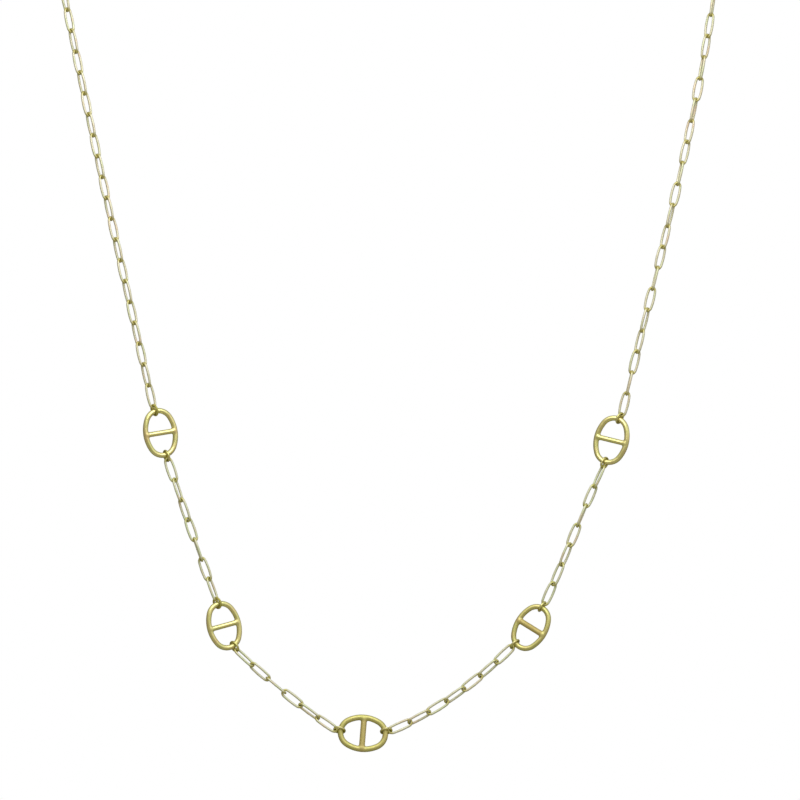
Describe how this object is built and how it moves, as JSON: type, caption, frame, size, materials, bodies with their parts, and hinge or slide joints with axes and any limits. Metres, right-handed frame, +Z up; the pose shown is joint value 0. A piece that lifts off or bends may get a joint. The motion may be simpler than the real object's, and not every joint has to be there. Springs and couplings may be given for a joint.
{
  "type": "long necklace",
  "caption": "Long gold-coloured station necklace in its hanging form: a fine paperclip cable chain that carries larger stud ovals between small jump rings.",
  "frame": {"origin": "where the middle of the back of the necklace rests on the nape of the neck", "axes": "+X to the right as seen from the front, -Y towards the front, where the long part hangs in an upright plane, +Z up"},
  "size_m": [0.1628, 0.1277, 0.2535],
  "materials": {
    "gold": "satin pale gold plate on brass"
  },
  "bodies": {
    "root": {"station_bottom": "gold", "station_lower_left": "gold", "station_lower_right": "gold", "station_upper_left": "gold", "station_upper_right": "gold", "ring_bottom_left": "gold", "ring_bottom_right": "gold", "ring_lower_left_in": "gold", "ring_lower_left_out": "gold", "ring_lower_right_in": "gold", "ring_lower_right_out": "gold", "ring_upper_left_in": "gold", "ring_upper_left_out": "gold", "ring_upper_right_in": "gold", "ring_upper_right_out": "gold", "chain_low_left": "gold", "chain_low_right": "gold", "chain_mid_left": "gold", "chain_mid_right": "gold", "chain_front_left": "gold", "chain_front_right": "gold", "chain_back_left": "gold", "chain_back_right": "gold", "clasp": "gold", "clasp_ring": "gold", "end_ring": "gold"}
  },
  "joints": []
}
